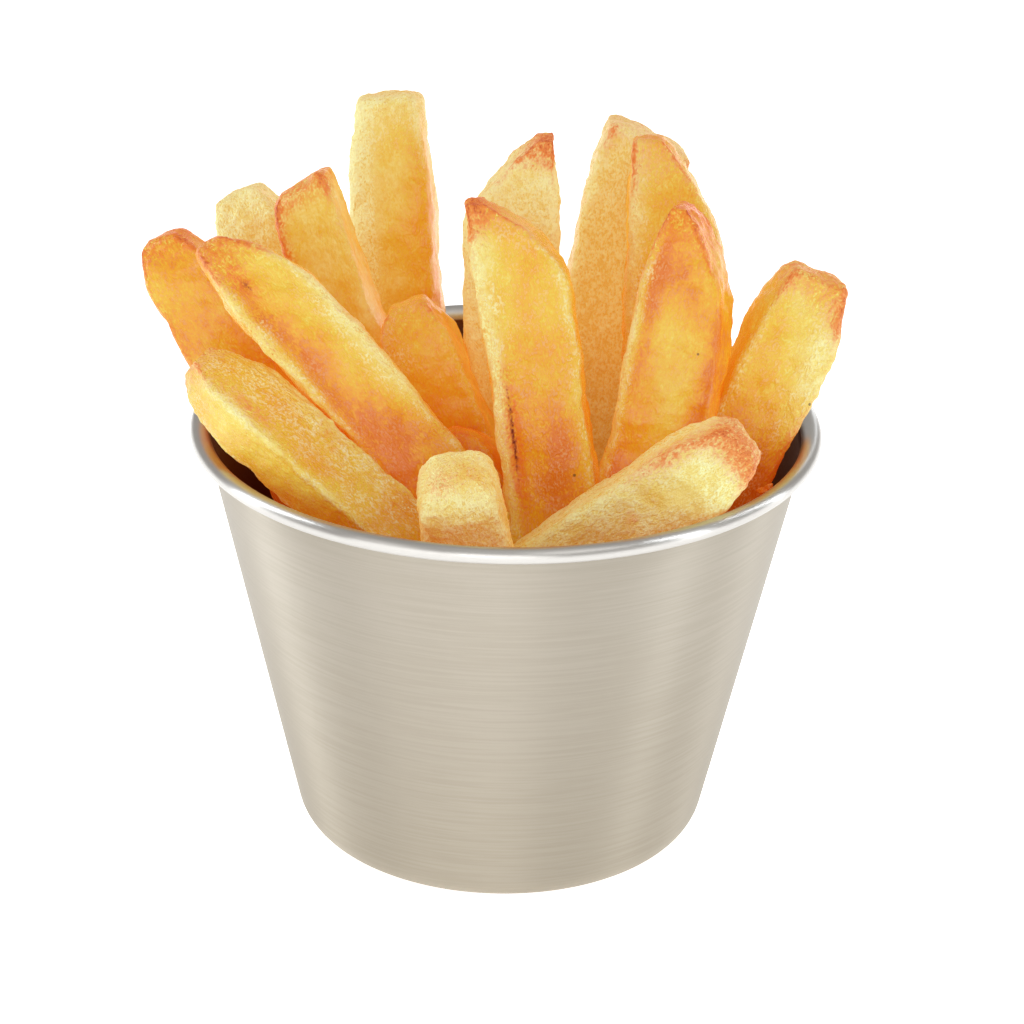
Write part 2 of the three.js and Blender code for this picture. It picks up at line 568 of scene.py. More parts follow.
@dataclass(frozen=True)
class BrushedSteel:
    """Satin steel brushed round the cup, with a polished rolled rim.

    Attributes:
        bright: the steel's colour.
        worn: its colour between the brush lines.
        low: what its colour is multiplied by at the base, a painted shade and painted dark reflection
            there.
        rim: its colour on the polished rim.
        inside: its colour inside, a painted shade and painted reflection of the fries' dark sides.
        rim_height: above this height in metres the steel is polished.
        lines_each_metre: how close together the brush lines are.
    """

    bright: Colour = (0.485, 0.445, 0.38, 1)
    worn: Colour = (0.43, 0.39, 0.325, 1)
    low: Colour = (0.9, 0.88, 0.84, 1)
    rim: Colour = (0.58, 0.565, 0.54, 1)
    inside: Colour = (0.14, 0.065, 0.04, 1)
    rim_height: float = 70.2 * MM
    lines_each_metre: float = 2200.0

    def material(self, name: str) -> bpy.types.Material:
        """Builds the material, with brush lines that run round the cup's axis.

        Args:
            name: the material's name.

        Returns:
            The new material.
        """
        material, shader, principled = new_material(name)
        place = shader.add("TexCoord").outputs["Object"]
        parts = shader.add("SeparateXYZ", {"Vector": place}).outputs
        flat = shader.add("CombineXYZ", {"X": parts["X"], "Y": parts["Y"]}).outputs[0]
        around = shader.add("VectorMath", {0: flat}, operation="NORMALIZE").outputs[0]
        turn = shader.add("SeparateXYZ", {"Vector": around}).outputs
        level = shader.math("MULTIPLY", parts["Z"], self.lines_each_metre)
        lines = shader.add("CombineXYZ", {"X": turn["X"], "Y": turn["Y"], "Z": level}).outputs[0]
        brush = shader.noise(shader.stretched(lines, (2.2, 2.2, 1)), 1.0, 2, 0.6)
        clouds = shader.noise(place, 45.0, 2, 0.5)
        marks = shader.total(0.0, (brush, 0.7), (clouds, 0.3))

        polish = shader.ramp(parts["Z"], self.rim_height - 0.6 * MM, self.rim_height + 0.4 * MM)
        body = shader.mix(shader.ramp(marks, 0.35, 0.65), self.worn, self.bright)
        # Painted shade: the steel darkens towards the base, standing in for the dark reflections there
        painted_base_shade = shader.ramp(parts["Z"], 0, self.rim_height, 1, 0)
        outside = shader.mix(polish, shader.mix(painted_base_shade, body, self.low, "MULTIPLY"), self.rim)
        satin = shader.ramp(marks, 0.25, 0.75, 0.46, 0.54)
        rough = shader.add("Mix", {0: polish, 2: satin, 3: 0.3}, data_type="FLOAT")
        finish = {
            # Painted shade and painted reflection: the inside of the cup is coloured dark brown
            "Base Color": shader.mix(shader.attribute("inside"), outside, self.inside),
            "Roughness": rough.outputs[0],
            "Metallic": 1.0,
            "Anisotropic": 0.88,
            "Anisotropic Rotation": 0.25,
            "Tangent": shader.add("Tangent", direction_type="RADIAL", axis="Z").outputs[0],
        }
        shader.dress(principled, finish)
        return material


# The cup


@dataclass
class SteelCup:
    """A spun steel cup with a straight sloping side, a rounded base corner and a rolled rim.

    Attributes:
        height: table to the top of the rim.
        rim_radius: over the rolled rim.
        bead: radius of the rolled rim's section.
        mouth_radius: outside of the side at the rim.
        base_radius: where the outside of the side would meet the table.
        corner: outside radius between side and base.
        sheet: steel thickness.
        lip_drop: how far down the rim's inner side rounds over.
        steps: faces round the cup.
    """

    height: float
    rim_radius: float
    bead: float = 1.3
    mouth_radius: float = 49.6
    base_radius: float = 33.2
    corner: float = 7.0
    sheet: float = 0.8
    lip_drop: float = 2.0
    steps: int = 192

    @property
    def slope(self) -> float:
        """How much the radius grows for each millimetre of height."""
        return (self.mouth_radius - self.base_radius) / (self.height - self.bead)

    @property
    def corner_radius(self) -> float:
        """How far from the axis the middle of the corner's arc is."""
        return self.base_radius + self.slope * self.corner - self.corner / math.cos(math.atan(self.slope))

    def inner_radius(self, height: float) -> float:
        """Radius of the inner side at a height."""
        return self.base_radius + self.slope * height - self.sheet / math.cos(math.atan(self.slope))

    def outline(self) -> list[Pair]:
        """The cut through the wall, from the base's middle round the rim and back inside.

        Returns:
            Distance from the axis and height of each point.
        """

        def arc(centre: Pair, radii: Pair, start: float, end: float, count: int) -> list[Pair]:
            (x, y), (wide, tall) = centre, radii
            angles = [start + (end - start) * i / count for i in range(count + 1)]
            return [(x + wide * math.cos(angle), y + tall * math.sin(angle)) for angle in angles]

        tilt = math.atan(self.slope)
        down = -math.pi / 2
        bead_centre = (self.rim_radius - self.bead, self.height - self.bead)
        lip_height = self.height - self.lip_drop
        lip_radius = bead_centre[0] - self.inner_radius(lip_height)
        inner_corner = self.corner - self.sheet
        side_steps = 8
        points = [(0.0, 0.0)]
        points += arc((self.corner_radius, self.corner), (self.corner, self.corner), down, -tilt, 12)
        bead = arc(bead_centre, (self.bead, self.bead), math.radians(200), 2.5 * math.pi, 22)
        points += between(points[-1], bead[0], side_steps) + bead
        lip = arc((bead_centre[0], lip_height), (lip_radius, self.lip_drop), math.pi / 2, math.pi, 8)
        points += lip[1:]
        inside = arc((self.corner_radius, self.corner), (inner_corner, inner_corner), -tilt, down, 10)
        points += between(points[-1], inside[0], side_steps) + inside
        points.append((0.0, self.sheet))
        return points

    def build(self) -> Piece:
        """Draws the outline from one vertex and spins it round the cup's axis.

        Returns:
            The cup, with an attribute that marks its inside.
        """
        outline = self.outline()
        bpy.ops.mesh.primitive_plane_add(size=1, location=(0, 0, 0))
        cup = bpy.context.object
        cup.name = "steel_cup"
        with editing(cup):
            bpy.ops.mesh.select_all(action="SELECT")
            bpy.ops.mesh.merge(type="CENTER")
            last = outline[0]
            for point in outline[1:]:
                step = ((point[0] - last[0]) * MM, 0, (point[1] - last[1]) * MM)
                bpy.ops.mesh.extrude_vertices_move(TRANSFORM_OT_translate={"value": step})
                last = point
            bpy.ops.mesh.select_all(action="SELECT")
            bpy.ops.mesh.spin(steps=self.steps, angle=math.tau, center=(0, 0, 0), axis=(0, 0, 1))
            bpy.ops.mesh.select_all(action="SELECT")
            bpy.ops.mesh.remove_doubles(threshold=0.01 * MM)
            bpy.ops.mesh.normals_make_consistent(inside=False)
        bpy.ops.object.shade_smooth_by_angle(angle=math.radians(50))
        places = vertex_places(cup)
        radius, height = np.hypot(places[:, 0], places[:, 1]), places[:, 2]
        from_wall = self.base_radius + self.slope * height - radius
        from_corner = np.hypot(np.maximum(radius - self.corner_radius, 0), self.corner - height)
        deep = np.where(height > self.corner, from_wall, self.corner - from_corner) > self.sheet / 2
        write_attribute(cup, "inside", (deep & (height < self.height - self.lip_drop)) * 1.0)
        return cup


def between(start: Pair, end: Pair, count: int) -> list[Pair]:
    """Evenly spaced points on the line from start to end, without its ends.

    Args:
        start: one end.
        end: the other end.
        count: how many steps the line is split into.

    Returns:
        The points.
    """
    shares = [i / count for i in range(1, count)]
    return [(start[0] + (end[0] - start[0]) * s, start[1] + (end[1] - start[1]) * s) for s in shares]


# The fries


class MarkKind(Enum):
    """What a mark does to the crust around it."""

    TONE = "tone"
    BROWN = "brown"
    BURN = "burn"
    CRUST = "crust"
    DENT = "dent"


@dataclass(frozen=True)
class Mark:
    """A soft-edged mark on a fry, placed in the fry's own directions.

    Attributes:
        kind: what it changes.
        across: its middle, as a share of the half width, from -1 at the left to 1 at the right.
        front: its middle, as a share of the half thickness, 1 at the front.
        along: its middle, as a share of the length.
        size: its radii in millimetres across, through and along.
        amount: its strength, or the depth of a dent in millimetres, less than 0 for a bulge.
    """

    kind: MarkKind
    across: float
    front: float
    along: float
    size: Point
    amount: float


@dataclass(frozen=True)
class End:
    """How a fry narrows at its tip.

    Attributes:
        width: share of its width that is left there.
        length: share of its length that narrows.
        power: how late it narrows, with 1 for a straight wedge.
        side: where the narrow end is, from -1 at the left edge to 1 at the right.
    """

    width: float = 0.7
    length: float = 0.15
    power: float = 2.0
    side: float = 0.0


@dataclass(frozen=True)
class Fry:
    """One fry, from its foot in the bundle to its tip.

    Attributes:
        foot: middle of its lower end.
        tip: middle of its upper end.
        width: across the view.
        thick: along the view.
        end: how its tip narrows.
        turn: degrees that it is turned about its own length.
        bow: how far its middle bends sideways and to the front.
        slant: slope that its tip is cut at.
        chamfer: its rounded edges, as a share of its smaller half side.
        tone: how deeply its middle is fried, from 0 to 1.
        low: painted shade, how much deeper its tone is at its foot, down in the bundle; it also dims its
            painted glow there.
        browning: how brown its tip is.
        crust: how blistered its faces are.
        marks: marks of its own.
    """

    foot: Point
    tip: Point
    width: float
    thick: float
    end: End = End()
    turn: float = 0.0
    bow: tuple[float, float] = (0.0, 0.0)
    slant: float = 0.0
    chamfer: float = 0.3
    tone: float = 0.5
    low: float = 0.3
    browning: float = 0.5
    crust: float = 0.2
    marks: tuple[Mark, ...] = ()

    @property
    def length(self) -> float:
        """Distance from foot to tip."""
        return (Vector(self.tip) - Vector(self.foot)).length

    def place(self) -> Matrix:
        """Turns the fry's own frame, across, back and along, into the cup's frame in metres.

        Returns:
            The matrix.
        """
        along = (Vector(self.tip) - Vector(self.foot)).normalized()
        front = Vector((0, -1, 0))
        front = (front - along * front.dot(along)).normalized()
        front.rotate(Matrix.Rotation(-math.radians(self.turn), 3, along))
        across = along.cross(front)
        place = Matrix((across, -front, along)).transposed().to_4x4()
        place.translation = Vector(self.foot) * MM
        return place

    def section(self, share: np.ndarray) -> tuple[np.ndarray, np.ndarray, np.ndarray, np.ndarray]:
        """The cross section at shares of the length.

        Args:
            share: 0 at the foot, 1 at the tip.

        Returns:
            Half width, half thickness, and how far the middle is moved across and to the front.
        """
        into_tip = np.maximum(0, (share - 1 + self.end.length) / self.end.length)
        narrowing = (1 - self.end.width) * into_tip**self.end.power
        thinning = (1 - max(self.end.width, 0.6)) * into_tip**2
        arch = 4 * share * (1 - share)
        across = self.end.side * self.width / 2 * narrowing + arch * self.bow[0]
        return (
            self.width / 2 * (1 - narrowing),
            self.thick / 2 * (1 - thinning),
            across,
            arch * self.bow[1],
        )


@dataclass
class FryCarver:
    """Carves a fry from a bar: chamfered edges, narrowed rings, a domed tip, then crust relief.

    Attributes:
        levels: how often the carved bar is subdivided.
        body_steps: rings along the part of a fry below its tip.
        edge_browning: how brown the long edges of a well browned fry are.
        shade_tone: painted shade, how much deeper the tone of the faces that look down is.
        open_shade: painted shade, how much of the painted glow a fry that stands in the open still loses at
            its foot.
        deep_shade: painted shade, how much of the painted glow the deepest of the others lose.
        reliefs: textures that roughen the skin, each with its strength and the vertices that it moves.
    """

    levels: int
    body_steps: int = 11
    edge_browning: float = 0.16
    shade_tone: float = 0.08
    open_shade: float = 0.35
    deep_shade: float = 0.7
    reliefs: tuple[tuple[bpy.types.Texture, float, str], ...] = field(init=False)

    def __post_init__(self) -> None:
        self.reliefs = (
            (self.cloud_texture("lumps", 11.0, 1), 1.6, ""),
            (self.cloud_texture("crags", 2.8, 2), 0.9, ""),
            (self.cloud_texture("blisters", 1.2, 1), 0.6, "crust"),
        )

    @staticmethod
    def cloud_texture(name: str, size: float, depth: int) -> bpy.types.Texture:
        """Soft noise with lumps of a size in millimetres.

        Args:
            name: the texture's name.
            size: size of a lump.
            depth: how many finer layers lie on it.

        Returns:
            The new texture.
        """
        texture = bpy.data.textures.new(name, "CLOUDS")
        texture.noise_scale = size * MM
        texture.noise_depth = depth
        return texture

    @staticmethod
    def relief(piece: Piece, texture: bpy.types.Texture, strength: float, middle: float = 0.5,
               **settings: object) -> None:
        """Raises and sinks a piece's skin by a texture, by up to a strength in millimetres.

        Args:
            piece: the piece.
            texture: the pattern.
            strength: height from its lowest to its highest place.
            middle: the pattern's value that moves nothing.
            **settings: further properties of the modifier.
        """
        settings |= {"texture": texture, "strength": strength * MM, "mid_level": middle}
        apply_modifier(piece, "DISPLACE", texture_coords="LOCAL", **settings)

    def stations(self, fry: Fry) -> list[float]:
        """Where along the fry its rings are, closer together near the tip.

        Args:
            fry: the fry.

        Returns:
            Shares of its length, from foot to tip.
        """
        body = [0.0, 0.04]
        start = 1 - fry.end.length
        body += [start * step / self.body_steps for step in range(1, self.body_steps + 1)]
        return body + [1 - fry.end.length * share for share in (0.75, 0.5, 0.3, 0.15, 0.04, 0.0)]

    def carve(self, fry: Fry) -> Piece:
        """Shapes the bar by hand operators, ring by ring from the foot to the tip.

        Args:
            fry: the fry.

        Returns:
            The carved bar, upright in its own frame.
        """
        length = fry.length * MM
        size = (fry.width * MM, fry.thick * MM, length)
        bpy.ops.mesh.primitive_cube_add(size=1, location=(0, 0, length / 2), scale=size)
        bar = bpy.context.object
        bpy.ops.object.transform_apply()
        cut = fry.chamfer * min(fry.width, fry.thick) / 2 * MM
        rings = self.stations(fry)
        near = 0.001 * MM
        with editing(bar):
            bpy.ops.mesh.select_mode(type="EDGE")
            select_edges(bar, lambda a, b: abs(a.z - b.z) > length / 2)
            bpy.ops.mesh.bevel(offset=cut, segments=2, profile=0.6, affect="EDGES")
            bpy.ops.mesh.select_mode(type="VERT")
            for share in rings[1:-1]:
                bpy.ops.mesh.select_all(action="SELECT")
                bpy.ops.mesh.bisect(plane_co=(0, 0, share * length), plane_no=(0, 0, 1))
            for share in rings:
                level = share * length
                half_width, half_thick, across, front = (float(v) for v in fry.section(np.array(share)))
                select_points(bar, lambda p: abs(p.z - level) < near)
                scale = (half_width / (fry.width / 2), half_thick / (fry.thick / 2), 1)
                bpy.ops.transform.resize(value=scale, center_override=(0, 0, level))
                bpy.ops.transform.translate(value=(across * MM, -front * MM, 0))
            select_points(bar, lambda p: p.z > length - near)
            end_width = min(float(v) for v in fry.section(np.array(1.0))[:2])
            bpy.ops.mesh.inset(thickness=end_width * 0.3 * MM, depth=end_width * 0.25 * MM)
        apply_modifier(bar, "SUBSURF", levels=self.levels, render_levels=self.levels)
        return bar

    def sculpt(self, fry: Fry, bar: Piece, seed: int) -> None:
        """Slants the tip, presses dents and writes what the crust looks like at each vertex, with its
        painted shade and painted glow.

        Args:
            fry: the fry that the bar became.
            bar: the carved bar, still in its own frame.
            seed: which of the endless patterns this fry shows.
        """
        places = vertex_places(bar)
        share = places[:, 2] / fry.length
        half_width, half_thick, across, front = fry.section(np.clip(share, 0, 1))
        side = (places[:, 0] - across) / half_width
        face = (-places[:, 1] - front) / half_thick
        edge = smooth_step(0.62, 0.98, np.minimum(abs(side), abs(face)))
        tip = smooth_step(1 - max(fry.end.length * 0.7, 0.09), 1.02, share)
        height = fry.foot[2] + (fry.tip[2] - fry.foot[2]) * share
        # Painted shade: the tone deepens towards the bottom of the bundle, where shade falls
        depth = 0.18 * smooth_step(88, 64, height) * (0.4 + fry.low)

        brown_edge = self.edge_browning * edge * (0.3 + fry.browning)
        # The tone layer holds painted shade too: each fry takes a deeper tone at its foot, by its low
        layers = {
            MarkKind.TONE: fry.tone + fry.low * smooth_step(0.7, 0.25, share) + depth - 0.1 * edge,
            MarkKind.BROWN: fry.browning * tip * (0.6 + 0.5 * edge) + brown_edge,
            MarkKind.BURN: np.zeros_like(share),
            MarkKind.CRUST: fry.crust + 0.3 * edge + 0.2 * tip,
            MarkKind.DENT: np.zeros_like(share),
        }
        for mark in fry.marks:
            wide, thick, aside, ahead = fry.section(np.array(mark.along))
            centre = (aside + mark.across * wide, -ahead - mark.front * thick, mark.along * fry.length)
            reach = (((places - np.array(centre)) / np.array(mark.size)) ** 2).sum(axis=1)
            layers[mark.kind] += mark.amount * np.exp(-reach)

        normals = np.empty(len(places) * 3, np.float32)
        bar.data.vertices.foreach_get("normal", normals)
        normals = normals.reshape(-1, 3)
        facing = normals @ np.array(fry.place().to_3x3().inverted() @ Vector((0, 0, 1)))
        # Painted shade: faces that look down take a deeper tone
        shaded = self.shade_tone * smooth_step(0.2, -0.6, facing)
        write_attribute(bar, "tone", layers[MarkKind.TONE] + shaded)
        for kind in (MarkKind.BROWN, MarkKind.BURN):
            write_attribute(bar, kind.value, np.clip(layers[kind], 0, 1.5))
        # Painted shade: the painted glow fades towards the bottom of the bundle, more for fries with a
        # larger low
        painted_glow_loss = min(1, self.open_shade + 2 * fry.low) * self.deep_shade
        write_attribute(bar, "painted_glow_share", 1 - painted_glow_loss * smooth_step(82, 52, height))
        crust = np.clip(layers[MarkKind.CRUST], 0, 1)
        write_attribute(bar, "crust", crust)
        write_attribute(bar, "grain", places + np.array((37.0, 11.0, 53.0)) * seed)
        group = bar.vertex_groups.new(name="crust")
        for index, weight in enumerate(crust.tolist()):
            group.add([index], weight, "REPLACE")

        pressed = places.copy()
        pressed[:, 2] -= fry.slant * places[:, 0] * np.clip(share, 0, 1) ** 4
        pressed -= normals * layers[MarkKind.DENT][:, None]
        bar.data.vertices.foreach_set("co", (pressed * MM).ravel())
        bar.data.update()

    def make(self, fry: Fry, seed: int) -> Piece:
        """Carves and sculpts one fry, puts it in its place and roughens it there.

        Args:
            fry: the fry.
            seed: which of the endless patterns it shows.

        Returns:
            The finished fry.
        """
        bar = self.carve(fry)
        self.sculpt(fry, bar, seed)
        bake_place(bar, fry.place())
        for texture, strength, vertices in self.reliefs:
            self.relief(bar, texture, strength, vertex_group=vertices)
        bar.vertex_groups.clear()
        return bar


TONE, BROWN, BURN, CRUST, DENT = MarkKind

SHOWN_FRIES: tuple[Fry, ...] = (
    # Left side, leaning out over the rim
    Fry(
        (-22, -6, 47), (-56.2, 8, 100), 12.5, 13, End(0.62, 0.12, 1.6, -0.1), slant=0.1,
        tone=0.66, low=0.2, browning=0.8, crust=0.0,
        marks=(Mark(BROWN, -1, 0.5, 0.8, (2, 6, 12), 0.35),),
    ),
    Fry(
        (-3.5, -20, 59), (-47, -8, 106.5), 13.8, 13, End(0.35, 0.22, 1.5, -0.3), turn=-20, bow=(1.5, 0),
        tone=0.42, low=0.2, browning=0.7, crust=0.06,
        marks=(
            Mark(BURN, -0.29, 1, 0.87, (0.8, 3, 2.2), 0.35),
            Mark(BROWN, -0.35, 1, 0.88, (1.8, 4, 5), 0.4),
            Mark(TONE, -0.5, 1, 0.7, (3, 5, 16), 0.5),
            Mark(TONE, -0.3, 1, 0.35, (6, 5, 13), 0.3),
            Mark(CRUST, 0.95, 0.8, 0.6, (3.5, 6, 25), 0.55),
            Mark(CRUST, -0.95, 0.8, 0.7, (2.5, 6, 20), 0.5),
            Mark(DENT, -0.45, 1, 0.65, (1.8, 4, 20), 0.7),
        ),
    ),
    Fry(
        (-23, 14, 50), (-45.5, 30, 100.5), 13, 12, End(0.65, 0.16), chamfer=0.45,
        tone=-0.04, low=0.15, browning=0.15, crust=0.42,
    ),
    Fry(
        (-14, 4, 50), (-34.5, 16, 106.8), 11.3, 13, End(0.85, 0.1, 2, 0.2), slant=-0.3,
        tone=0.22, low=0.35, browning=0.7, crust=0.0,
        marks=(Mark(BROWN, -1, 0.7, 0.85, (2, 5, 12), 0.55),),
    ),
    Fry(
        (-12.5, -34, 61), (-49.7, -12, 86.3), 12, 11, End(0.35, 0.2), turn=-55, bow=(0, 1),
        tone=0.44, low=0.15, crust=0.38,
        marks=(
            Mark(CRUST, -1.1, 0, 0.5, (3, 8, 40), -0.2),
            Mark(TONE, -1.1, 0, 0.5, (3, 8, 30), -0.25),
            Mark(TONE, 0.2, 1, 0.5, (4, 4, 14), 0.25),
            Mark(BROWN, -0.5, 1, 0.75, (1.6, 3, 8), 0.35),
            Mark(CRUST, 0.7, 1, 0.5, (3, 4, 20), 0.3),
        ),
    ),
    # Back, the tallest first
    Fry(
        (-12, 24, 24), (-21, 44.5, 112.6), 14, 13, End(0.76, 0.2, 2, 0.1), turn=5, bow=(-1, 0),
        chamfer=0.42, tone=0.2, low=0.2, browning=0.1, crust=0.0,
        marks=(
            Mark(CRUST, -0.8, 1, 0.8, (3.5, 5, 30), 0.7),
            Mark(TONE, -0.8, 1, 0.8, (3.5, 5, 30), -0.4),
            Mark(CRUST, 0, 0.6, 1.0, (9, 9, 7), 0.35),
            Mark(CRUST, -0.95, 1, 0.7, (3, 5, 30), 0.3),
            Mark(TONE, 1, 1, 0.62, (5, 8, 20), 0.35),
            Mark(TONE, 0.2, 1, 0.52, (8, 8, 8), 0.25),
            Mark(TONE, 0.9, 1, 0.88, (3, 4, 9), 0.3),
        ),
    ),
    Fry(
        (7, 8, 36), (0, 16, 116), 15.8, 11.5, End(0.2, 0.155, 1.2, 0.9), bow=(-2, 0),
        tone=0.16, low=0.15, browning=0.6, crust=0.6,
        marks=(Mark(BROWN, 0.8, 1, 1.0, (4, 6, 4), 0.5),),
    ),
    Fry(
        (12, 24, 28.5), (23.2, 36, 109.5), 16.5, 13, End(0.88, 0.12, 2, 0.1), bow=(-2, 0), slant=0.3,
        tone=-0.15, low=0.05, browning=0.4, crust=0.45,
    ),
    Fry(
        (24, 8, 36.5), (27, 22, 114), 16.8, 12.5, End(0.33, 0.25, 1.6, -0.75), bow=(2, 0),
        tone=0.44, crust=0.1,
        marks=(
            Mark(CRUST, -0.9, 0.9, 0.8, (2.5, 5, 20), 0.5),
            Mark(TONE, -0.2, 1, 0.45, (8, 6, 13), 0.35),
        ),
    ),
    # Middle, from the short dark ones to the long broad ones
    Fry(
        (2, -4, 45), (-17, 4, 91), 12.5, 12, End(0.55, 0.2, 2, 0.1),
        tone=0.46, low=0.25, browning=0.35, crust=0.05,
        marks=(Mark(CRUST, -0.6, 1, 0.86, (3, 4, 5), 0.35),),
    ),
    Fry((7, -16, 47.5), (-8.5, -8, 74), 10, 10, End(0.4, 0.2, 2, -0.4), tone=0.8, crust=0.1),
    Fry(
        (9.5, -20, 42.5), (-0.5, -8, 114.5), 15.2, 12.5, End(0.22, 0.2, 2, -0.85), bow=(1.5, 0),
        tone=0.46, low=0.2,
        marks=(
            Mark(BROWN, -0.8, 1, 1.0, (4, 6, 3.5), 0.6),
            Mark(TONE, 0.2, 1, 0.5, (6, 5, 20), 0.25),
            Mark(CRUST, -0.9, 0.9, 0.75, (2.5, 5, 22), 0.5),
            Mark(BURN, -0.62, 1, 0.5, (0.5, 3, 9), 0.55),
            Mark(BROWN, -0.6, 1, 0.47, (1.3, 3, 15), 0.6),
            Mark(DENT, -0.62, 1, 0.47, (1.0, 3, 12), 1.1),
            Mark(DENT, -0.8, 1, 0.47, (1.2, 3, 15), -0.7),
            Mark(CRUST, -0.8, 1, 0.45, (1.4, 3, 18), 0.5),
            Mark(DENT, -0.25, 1, 0.7, (1.6, 4, 18), 0.6),
        ),
    ),
    Fry(
        (14.5, -14, 39.5), (29, -4, 112), 15.5, 13, End(0.2, 0.25, 2, -0.2), turn=15, bow=(4, 0),
        tone=0.58, low=0.05, browning=0.85, crust=-0.15,
        marks=(
            Mark(CRUST, -1, 0.8, 0.6, (2.6, 6, 34), 0.75),
            Mark(TONE, -1, 0.8, 0.6, (2.6, 6, 34), -0.35),
            Mark(TONE, -0.4, 1, 0.4, (7, 5, 12), 0.15),
            Mark(TONE, 0.9, 1, 0.7, (1.8, 5, 25), 0.45),
            Mark(TONE, -0.65, 1, 0.75, (1.6, 5, 22), 0.45),
            Mark(TONE, 0.15, 1, 0.62, (4, 5, 9), -0.35),
            Mark(TONE, 0, 1, 0.86, (6, 5, 5), 0.3),
        ),
    ),
    # Front stub, and the right side
    Fry(
        (-2, -24, 44), (-8, -37.6, 80), 13.3, 13, End(0.6, 0.15), chamfer=0.42,
        tone=0.28, low=-0.1, browning=0.05, crust=0.6,
        marks=(
            Mark(CRUST, 0, 1, 0.6, (8, 4, 9), -0.25),
            Mark(TONE, 0.4, 0.3, 1, (4, 3, 2), 0.5),
            Mark(BROWN, -0.6, 0.6, 1, (3, 3, 2), 0.3),
            Mark(TONE, 0, 1, 0.7, (8, 3, 8), -0.45),
        ),
    ),
    Fry(
        (-3.5, -22, 47.5), (37.5, -30, 82.5), 14, 13, End(0.6, 0.2, 2.2), turn=10, chamfer=0.4,
        tone=-0.18, low=0.05, crust=0.5,
        marks=(
            Mark(TONE, 0.4, 1, 0.55, (4, 4, 5), 0.45),
            Mark(TONE, -0.3, 1, 0.72, (3, 4, 3), 0.35),
            Mark(CRUST, 0.1, 1, 0.8, (4, 4, 4), -0.25),
            Mark(BROWN, -0.1, 1, 0.62, (1.5, 4, 2), 0.3),
            Mark(TONE, -1, 0.3, 0.5, (4, 6, 22), 0.2),
            Mark(BROWN, -0.9, 0.9, 0.85, (3, 4, 9), 0.4),
            Mark(BROWN, 0.3, 0.8, 1.0, (8, 5, 3), 0.35),
        ),
    ),
    Fry(
        (24.5, -8, 44), (50, 0, 99.3), 14.8, 13, End(0.68, 0.2, 2, 0.1), bow=(1, 0), chamfer=0.42,
        tone=0.34, browning=0.6,
        marks=(
            Mark(TONE, -0.5, 1, 0.6, (4, 5, 14), 0.3),
            Mark(TONE, 0.8, 0.7, 0.36, (7, 8, 12), 0.6),
            Mark(BROWN, 0.9, 0.9, 0.5, (2.5, 5, 9), 0.45),
            Mark(CRUST, 0.6, 1, 0.8, (3, 5, 12), 0.3),
            Mark(BROWN, 0.9, 0.7, 0.92, (3, 5, 4), 0.4),
        ),
    ),
)

LOW_FRIES: tuple[Fry, ...] = (
    # Left half, from the front round to the back
    Fry((-8, -20, 30), (-23, -29, 60), 12, 11, turn=-20, tone=0.7),
    Fry((-26, 10, 30), (-33, 23, 67), 12, 12, turn=20, tone=0.5),
    Fry((-17, 20, 28), (-23, 30, 60), 11, 12, turn=-15, tone=0.6),
    Fry((-3, 26, 26), (-3, 36, 58), 12, 11, turn=10, tone=0.5),
    Fry((-4, 16, 34), (-2, 22, 66), 11, 11, turn=-10, tone=0.6),
    # Right half, from the back round to the front
    Fry((6, 30, 30), (5, 39, 65), 11, 11, turn=-15, tone=0.45),
    Fry((22, 18, 30), (27, 25, 66), 12, 12, turn=-25, tone=0.5),
    Fry((25, 10, 28), (33, 17, 60), 11, 12, turn=30, tone=0.6),
    Fry((28, 3, 30), (36, 5, 56), 12, 11, turn=15, tone=0.6),
    Fry((13, 4, 36), (14, 7, 60), 12, 12, turn=35, tone=0.7),
    Fry((10, -22, 30), (23, -31, 57), 12, 12, turn=25, tone=0.6),
    Fry((6, -26, 26), (9, -36, 59), 11, 12, turn=-10, tone=0.5),
)


